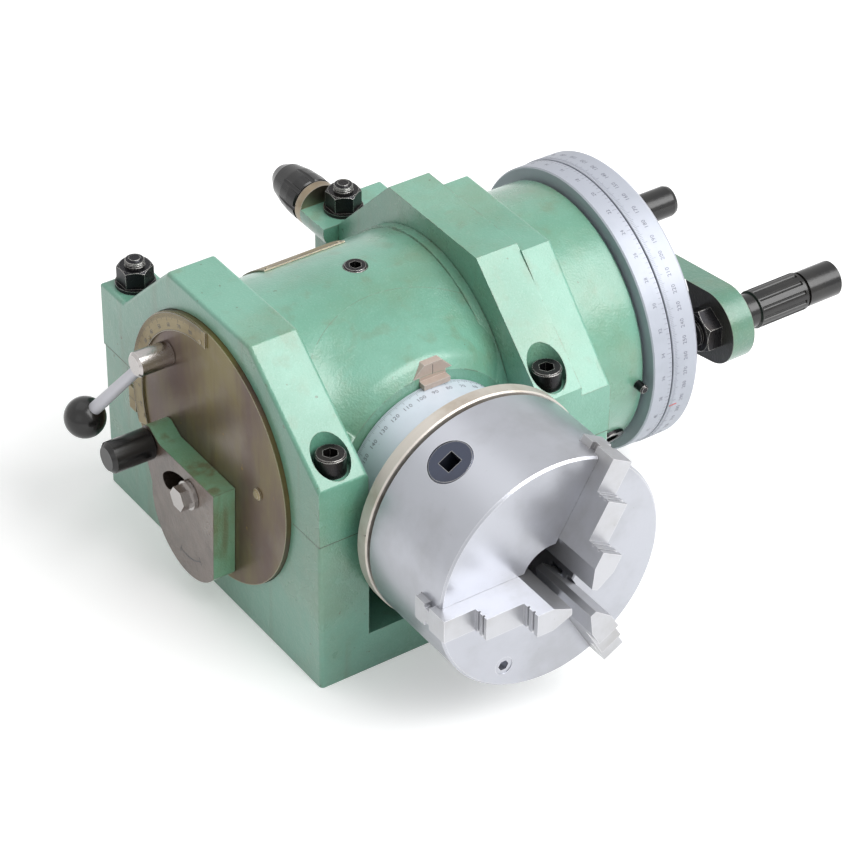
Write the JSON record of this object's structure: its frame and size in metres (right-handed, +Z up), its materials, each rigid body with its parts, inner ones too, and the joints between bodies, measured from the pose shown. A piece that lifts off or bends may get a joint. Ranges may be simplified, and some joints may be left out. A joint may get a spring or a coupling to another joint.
{
  "type": "universal dividing head with three-jaw chuck",
  "caption": "Universal dividing head: swivelling drum in a two-pillar base, three-jaw chuck, worm drive, index plate and double-ended index crank.",
  "frame": {"origin": "on the base's underside, directly below the crossing of the drum axis and the spindle axis", "axes": "+X along the drum axis towards the index crank, -Y along the spindle towards the chuck, +Z up"},
  "size_m": [0.5407, 0.4913, 0.2478],
  "materials": {
    "enamel": "sea-green enamel with orange peel, chips and oil stains",
    "oiled_steel": "bare steel, machined, oily and slightly brown",
    "ground_steel": "ground bright steel",
    "bright_metal": "polished bright metal",
    "black_steel": "blackened steel",
    "dial_metal": "satin light grey dial metal",
    "brass": "brass, slightly tarnished",
    "bronze": "bearing bronze",
    "black_grip": "black moulded plastic"
  },
  "bodies": {
    "base": {"base": "enamel", "left_cap": "enamel", "right_cap": "enamel", "cap_screws": "black_steel", "cap_studs": "black_steel", "locate_collar": "oiled_steel", "angle_index": "brass"},
    "locating_plunger": {"locate_knob": "black_grip", "locate_pin": "ground_steel"},
    "swivel": {"swivel_body": "enamel", "end_plate": "oiled_steel", "angle_scale": "brass", "grease_plug": "brass", "oil_plug": "black_steel", "name_plate": "brass", "index_mark": "brass", "rear_cover": "oiled_steel", "spindle_bearings": "bronze", "gear_case": "enamel", "oil_sight": "black_steel", "zero_pin": "ground_steel", "fixed_dial": "dial_metal", "index_plate": "dial_metal", "crank_bushes": "bronze", "clamp_bolt": "bright_metal"},
    "spindle": {"spindle": "ground_steel", "direct_dial": "dial_metal", "worm_wheel": "bronze", "spindle_nut": "oiled_steel", "chuck_adapter": "bronze", "chuck_body": "ground_steel", "chuck_face_screw": "oiled_steel", "chuck_cover": "oiled_steel"},
    "scroll": {"scroll": "ground_steel"},
    "pinion_1": {"pinion_1": "black_steel"},
    "pinion_2": {"pinion_2": "black_steel"},
    "pinion_3": {"pinion_3": "black_steel"},
    "jaw_1": {"jaw_1": "ground_steel"},
    "jaw_2": {"jaw_2": "ground_steel"},
    "jaw_3": {"jaw_3": "ground_steel"},
    "worm_lever": {"worm_lever": "enamel", "worm_sleeve": "oiled_steel", "worm_lever_grip": "black_grip"},
    "worm_bushes": {"worm_bushes": "bronze"},
    "worm": {"worm": "ground_steel", "worm_gear": "ground_steel"},
    "crank": {"crank_shaft": "ground_steel", "crank_gear": "ground_steel", "crank_arm": "enamel", "crank_nut": "black_steel", "plunger_mount": "black_steel", "handle_pin": "ground_steel"},
    "crank_handle": {"crank_handle": "black_grip"},
    "index_plunger": {"index_pin": "ground_steel", "plunger_grip": "black_grip"},
    "sector_arm_1": {"sector_arm_1": "ground_steel"},
    "sector_arm_2": {"sector_arm_2": "ground_steel"},
    "lock_lever": {"lock_hub": "bright_metal", "lock_rod": "bright_metal", "lock_ball": "black_grip"}
  },
  "joints": [
    {"name": "tilt", "type": "hinge", "parent": "base", "child": "swivel", "pos_m": [0, 0, 0.125], "axis": [-1, 0, 0], "range_deg": [-5, 95]},
    {"name": "crank_turn", "type": "hinge", "parent": "swivel", "child": "crank", "pos_m": [0, 0, 0.125], "axis": [1, 0, 0], "continuous": true},
    {"name": "spindle_turn", "type": "hinge", "parent": "swivel", "child": "spindle", "pos_m": [0, 0, 0.125], "axis": [0, -1, 0], "continuous": true},
    {"name": "worm_throw", "type": "hinge", "parent": "swivel", "child": "worm_lever", "pos_m": [0, 0.004, 0.065], "axis": [1, 0, 0], "range_deg": [0, 60]},
    {"name": "worm_bushes_turn", "type": "hinge", "parent": "worm_lever", "child": "worm_bushes", "pos_m": [0, -0.0012, 0.068], "axis": [1, 0, 0], "range_deg": [-60, 0]},
    {"name": "worm_turn", "type": "hinge", "parent": "worm_bushes", "child": "worm", "pos_m": [0, -0.0012, 0.068], "axis": [1, 0, 0], "continuous": true},
    {"name": "scroll_turn", "type": "hinge", "parent": "spindle", "child": "scroll", "pos_m": [0, 0, 0.125], "axis": [0, -1, 0], "range_deg": [-450, 720]},
    {"name": "pinion_1_turn", "type": "hinge", "parent": "spindle", "child": "pinion_1", "pos_m": [0, -0.1905, 0.125], "axis": [1, 0, 0], "range_deg": [-2885, 1805]},
    {"name": "pinion_2_turn", "type": "hinge", "parent": "spindle", "child": "pinion_2", "pos_m": [0, -0.1905, 0.125], "axis": [-0.5, 0, 0.866], "range_deg": [-2885, 1805]},
    {"name": "pinion_3_turn", "type": "hinge", "parent": "spindle", "child": "pinion_3", "pos_m": [0, -0.1905, 0.125], "axis": [-0.5, 0, -0.866], "range_deg": [-2885, 1805]},
    {"name": "jaw_1_slide", "type": "slide", "parent": "spindle", "child": "jaw_1", "axis": [0.5, 0, 0.866], "range_m": [-0.0101, 0.0161]},
    {"name": "jaw_2_slide", "type": "slide", "parent": "spindle", "child": "jaw_2", "axis": [-1, 0, 0], "range_m": [-0.0101, 0.0161]},
    {"name": "jaw_3_slide", "type": "slide", "parent": "spindle", "child": "jaw_3", "axis": [0.5, 0, -0.866], "range_m": [-0.0101, 0.0161]},
    {"name": "handle_turn", "type": "hinge", "parent": "crank", "child": "crank_handle", "pos_m": [0.32, 0.09553, 0.10816], "axis": [1, 0, 0], "continuous": true},
    {"name": "index_pin_drop", "type": "slide", "parent": "crank", "child": "index_plunger", "axis": [-1, 0, 0], "range_m": [0, 0.01]},
    {"name": "sector_1_turn", "type": "hinge", "parent": "swivel", "child": "sector_arm_1", "pos_m": [0, 0, 0.125], "axis": [1, 0, 0], "range_deg": [-170, 170]},
    {"name": "sector_2_turn", "type": "hinge", "parent": "swivel", "child": "sector_arm_2", "pos_m": [0, 0, 0.125], "axis": [1, 0, 0], "range_deg": [-170, 170]},
    {"name": "spindle_lock", "type": "hinge", "parent": "swivel", "child": "lock_lever", "pos_m": [-0.13, 0.05, 0.178], "axis": [1, 0, 0], "range_deg": [-5, 45]},
    {"name": "locating_pull", "type": "slide", "parent": "base", "child": "locating_plunger", "axis": [0, 1, 0], "range_m": [0, 0.01], "stiffness_N_per_m": 400, "springref_m": -0.01}
  ],
  "couplings": [
    {"joint": "spindle_turn", "follows": "crank_turn", "ratio": 0.025},
    {"joint": "worm_turn", "follows": "crank_turn", "ratio": -1},
    {"joint": "worm_bushes_turn", "follows": "worm_throw", "ratio": -1},
    {"joint": "pinion_1_turn", "follows": "scroll_turn", "ratio": -4},
    {"joint": "pinion_2_turn", "follows": "scroll_turn", "ratio": -4},
    {"joint": "pinion_3_turn", "follows": "scroll_turn", "ratio": -4},
    {"joint": "jaw_1_slide", "follows": "scroll_turn", "m_per_rad": 0.0012732},
    {"joint": "jaw_2_slide", "follows": "scroll_turn", "m_per_rad": 0.0012732},
    {"joint": "jaw_3_slide", "follows": "scroll_turn", "m_per_rad": 0.0012732}
  ]
}
